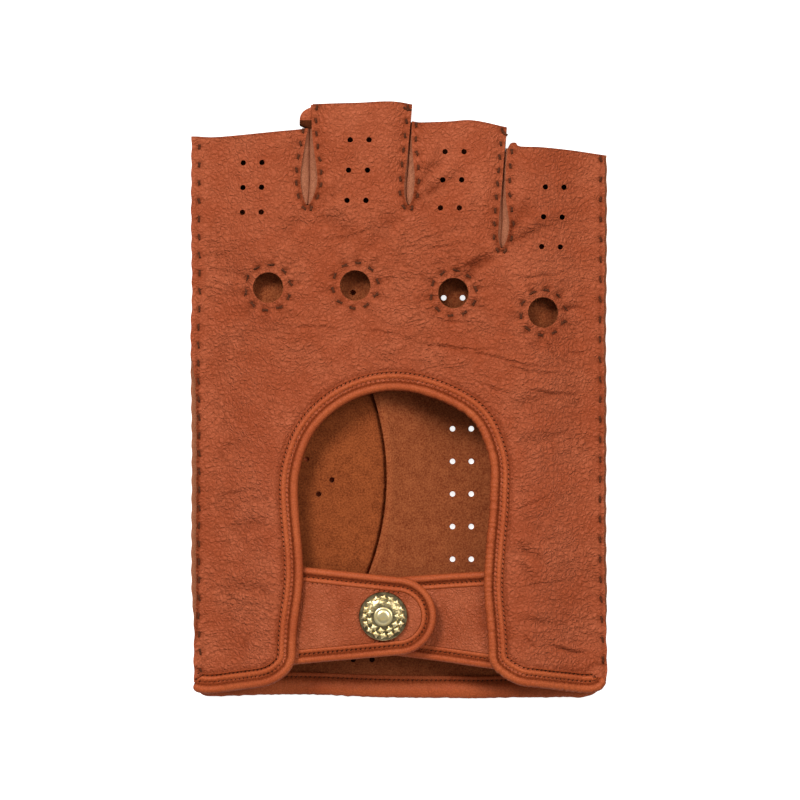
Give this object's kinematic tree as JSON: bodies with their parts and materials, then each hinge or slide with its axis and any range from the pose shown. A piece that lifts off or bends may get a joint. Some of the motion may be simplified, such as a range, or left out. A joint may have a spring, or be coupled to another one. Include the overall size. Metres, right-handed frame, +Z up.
{
  "type": "fingerless leather driving glove",
  "caption": "Fingerless leather driving glove for the right hand with vented stalls, knuckle holes, a keyhole back and a snapped wrist strap.",
  "frame": {"origin": "on the table, under the middle of the glove's bounding box", "axes": "+X across the hand from the thumb side to the little finger, +Y from the cuff to the fingers, +Z up out of the back of the hand"},
  "size_m": [0.1052, 0.1514, 0.0173],
  "materials": {
    "tan_leather": "grained nappa, satin",
    "edge_leather": "rolled edge, satin",
    "suede": "flesh side, matt",
    "sewing_thread": "bonded thread",
    "antique_brass": "dark antique, relieved",
    "spring_steel": "bright wire"
  },
  "bodies": {
    "hand": {"back_panel": "tan_leather", "palm_panel": "tan_leather", "back_binding": "edge_leather", "palm_hem": "edge_leather", "knuckle_rings": "suede", "knuckle_thread": "sewing_thread", "side_seam_thread": "sewing_thread", "strap_tail": "suede", "tab_tail": "suede", "thumb_gusset": "suede"},
    "index_finger": {"index_back": "tan_leather", "index_palm": "tan_leather", "index_fourchette": "suede"},
    "middle_finger": {"middle_back": "tan_leather", "middle_palm": "tan_leather", "middle_fourchette_index_side": "suede", "middle_fourchette_ring_side": "suede"},
    "ring_finger": {"ring_back": "tan_leather", "ring_palm": "tan_leather", "ring_fourchette_middle_side": "suede", "ring_fourchette_little_side": "suede"},
    "little_finger": {"little_back": "tan_leather", "little_palm": "tan_leather", "little_fourchette": "suede"},
    "strap": {"strap_leather": "tan_leather", "strap_lining": "suede", "strap_binding": "edge_leather", "snap_cap": "antique_brass", "snap_socket": "antique_brass", "snap_spring": "spring_steel"},
    "tab": {"tab_leather": "tan_leather", "tab_lining": "suede", "tab_binding": "edge_leather", "snap_stud": "antique_brass", "snap_stud_rivet": "antique_brass"},
    "thumb": {"thumb_upper": "tan_leather", "thumb_lower": "tan_leather"}
  },
  "joints": [
    {"name": "strap_swing", "type": "hinge", "parent": "hand", "child": "strap", "pos_m": [-0.02579, -0.055, 0.01465], "axis": [0, -1, 0], "range_deg": [0, 150]},
    {"name": "tab_swing", "type": "hinge", "parent": "hand", "child": "tab", "pos_m": [0.02259, -0.055, 0.01465], "axis": [0, 1, 0], "range_deg": [0, 45]},
    {"name": "thumb_swing", "type": "hinge", "parent": "hand", "child": "thumb", "pos_m": [-0.046, -0.013, 0.003], "axis": [0, 1, 0], "range_deg": [0, 150], "stiffness_Nm_per_rad": 0.02},
    {"name": "index_flex", "type": "hinge", "parent": "hand", "child": "index_finger", "pos_m": [-0.03875, 0.0491, 0], "axis": [-1, 0, 0], "range_deg": [0, 60], "stiffness_Nm_per_rad": 0.03},
    {"name": "middle_flex", "type": "hinge", "parent": "hand", "child": "middle_finger", "pos_m": [-0.01015, 0.0491, 0], "axis": [-1, 0, 0], "range_deg": [0, 60], "stiffness_Nm_per_rad": 0.03},
    {"name": "ring_flex", "type": "hinge", "parent": "hand", "child": "ring_finger", "pos_m": [0.01395, 0.0473, 0], "axis": [-1, 0, 0], "range_deg": [0, 60], "stiffness_Nm_per_rad": 0.03},
    {"name": "little_flex", "type": "hinge", "parent": "hand", "child": "little_finger", "pos_m": [0.04, 0.0374, 0], "axis": [-1, 0, 0], "range_deg": [0, 60], "stiffness_Nm_per_rad": 0.03}
  ],
  "couplings": [
    {"joint": "tab_swing", "follows": "strap_swing", "ratio": 0.3}
  ]
}
